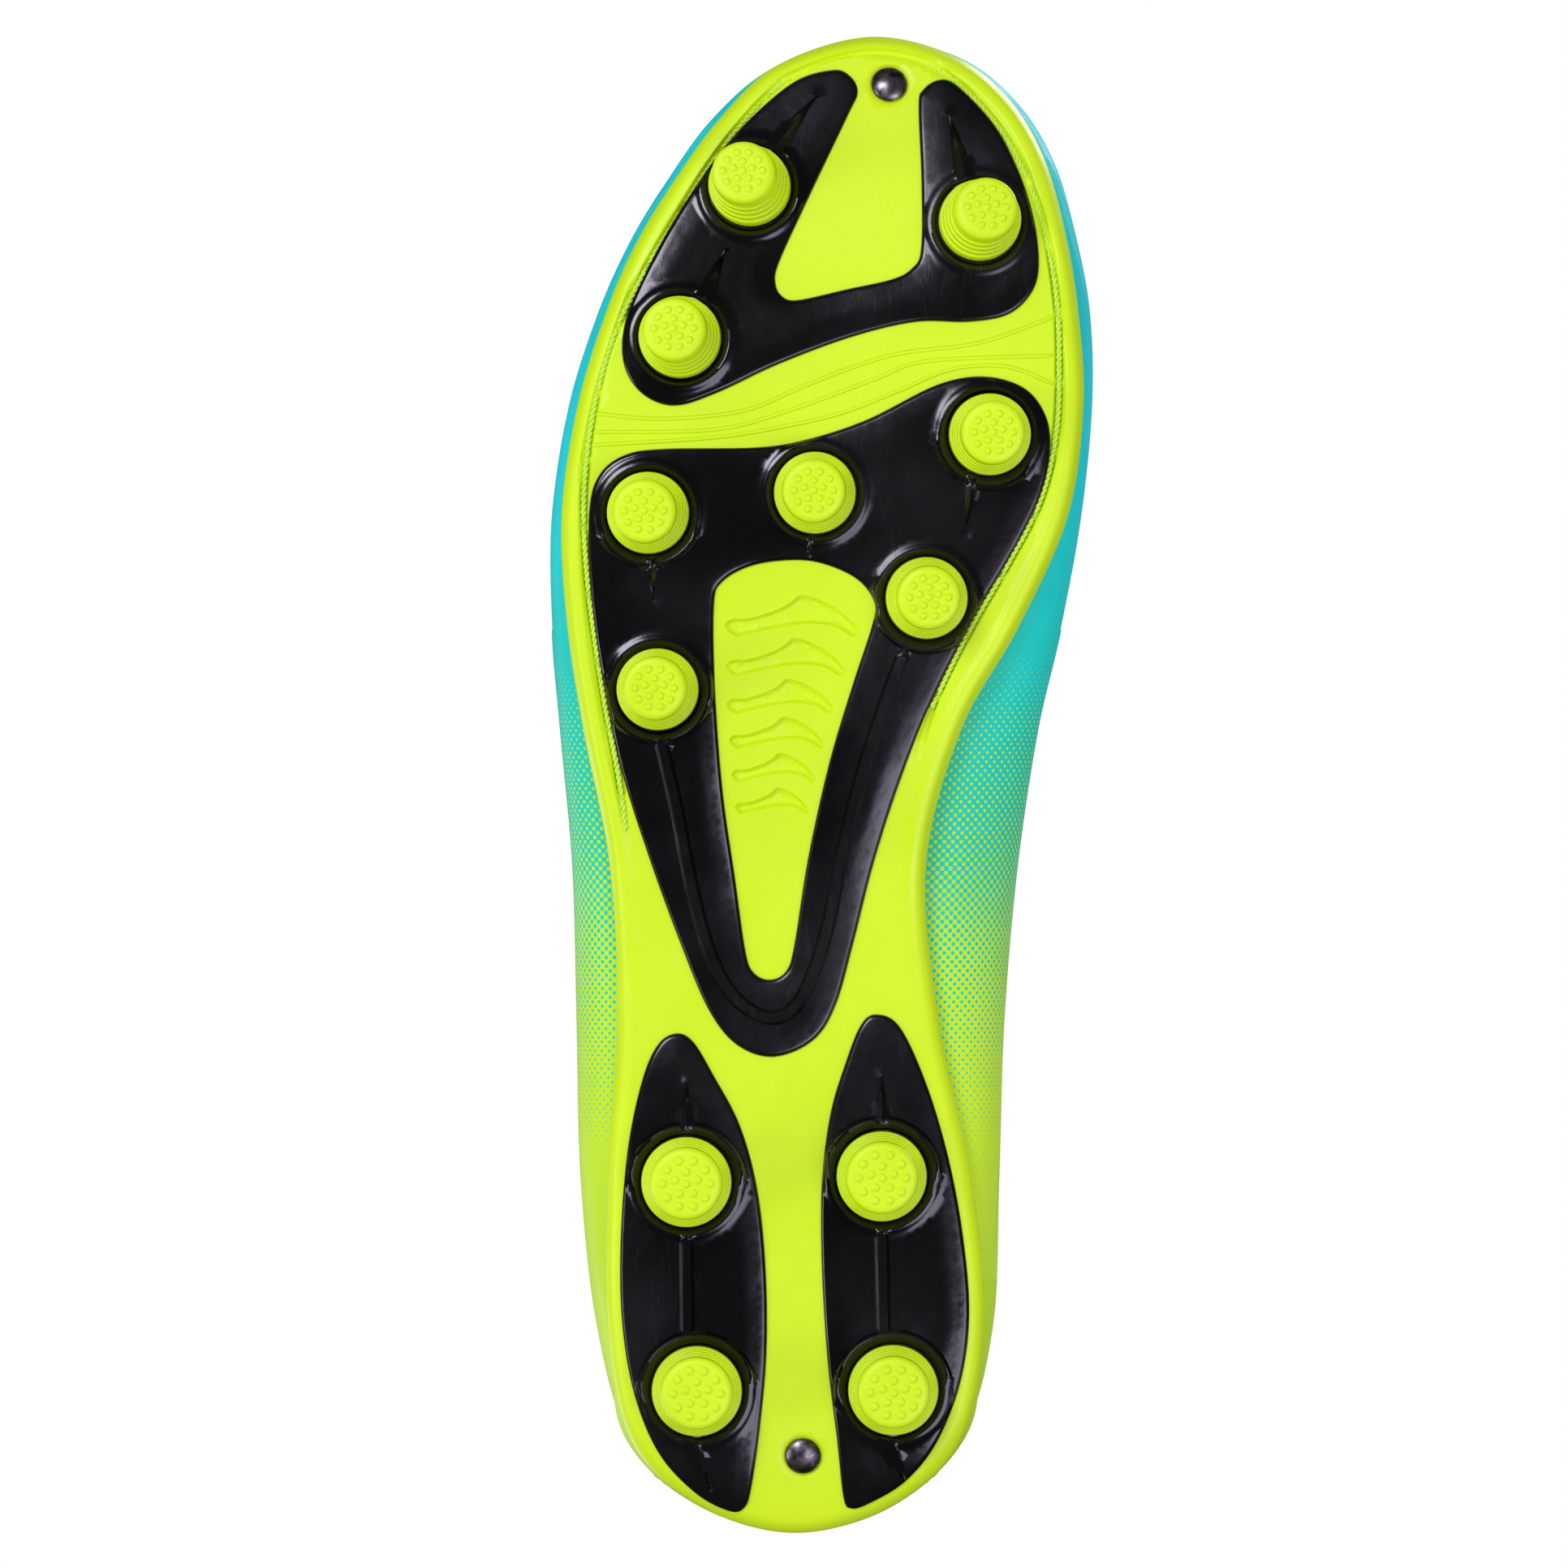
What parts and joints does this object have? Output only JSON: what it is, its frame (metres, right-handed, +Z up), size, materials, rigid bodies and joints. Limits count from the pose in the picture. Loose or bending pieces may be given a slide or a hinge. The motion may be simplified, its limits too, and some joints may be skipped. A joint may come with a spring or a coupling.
{
  "type": "soccer cleat",
  "caption": "Low-cut right soccer cleat with a moulded studded sole plate, glossy overlays, synthetic upper, padded collar and open throat.",
  "frame": {"origin": "centre of the bounding box in plan, at the height of the stud tips it stands on", "axes": "+Z up, toe towards -Y, medial side towards +X (right shoe)"},
  "size_m": [0.104, 0.2862, 0.1034],
  "materials": {
    "plate_lime": "satin moulded TPU",
    "stud_lime": "satin moulded TPU",
    "overlay_black": "glossy moulded TPU",
    "rivet_steel": "dark domed steel",
    "thread_lime": "twisted thread",
    "board": "matt fibre board",
    "foam_liner": "knitted cover on foam",
    "stiffener": "matt",
    "upper_cyan": "satin synthetic leather",
    "upper_halftone": "satin synthetic leather, printed dots",
    "upper_lime": "satin synthetic leather",
    "trim_black": "satin synthetic leather",
    "lining_fabric": "knitted fabric",
    "collar_foam": "padded fabric",
    "binding_fabric": "woven tape"
  },
  "bodies": {
    "rear_shoe": {"plate_rear": "plate_lime", "ball_overlay": "overlay_black", "heel_overlay_lateral": "overlay_black", "heel_overlay_medial": "overlay_black", "stud_ball_medial_front": "stud_lime", "stud_ball_center": "stud_lime", "stud_ball_lateral_front": "stud_lime", "stud_ball_medial_rear": "stud_lime", "stud_ball_lateral_rear": "stud_lime", "stud_heel_lateral_front": "stud_lime", "stud_heel_medial_front": "stud_lime", "stud_heel_lateral_rear": "stud_lime", "stud_heel_medial_rear": "stud_lime", "heel_rivet": "rivet_steel", "sole_stitch": "thread_lime", "insole_board": "board", "sock_liner": "foam_liner", "heel_counter": "stiffener", "vamp_panel": "upper_cyan", "quarter_lateral": "upper_halftone", "quarter_medial": "upper_halftone", "heel_panel": "upper_lime", "eyestay_lateral": "trim_black", "eyestay_medial": "trim_black", "vamp_lining": "lining_fabric", "quarter_lining": "lining_fabric", "collar_pad": "collar_foam", "collar_binding": "binding_fabric"},
    "forefoot": {"plate_front": "plate_lime", "toe_overlay": "overlay_black", "stud_toe_lateral_front": "stud_lime", "stud_toe_lateral_rear": "stud_lime", "stud_toe_medial": "stud_lime", "toe_rivet": "rivet_steel", "toe_puff": "stiffener", "toe_panel": "upper_cyan"},
    "tongue": {"tongue_face": "trim_black", "tongue_pad": "collar_foam"}
  },
  "joints": [
    {"name": "toe_flex", "type": "hinge", "parent": "rear_shoe", "child": "forefoot", "pos_m": [0, -0.0755, 0.0182], "axis": [-0.9701, 0.2425, 0], "range_deg": [0, 30], "stiffness_Nm_per_rad": 3, "deforming": ["vamp_panel", "vamp_lining", "insole_board", "sock_liner", "sole_stitch"]},
    {"name": "tongue_swing", "type": "hinge", "parent": "rear_shoe", "child": "tongue", "pos_m": [0.005, -0.0365, 0.0698], "axis": [1, 0, 0], "range_deg": [0, 40]}
  ]
}
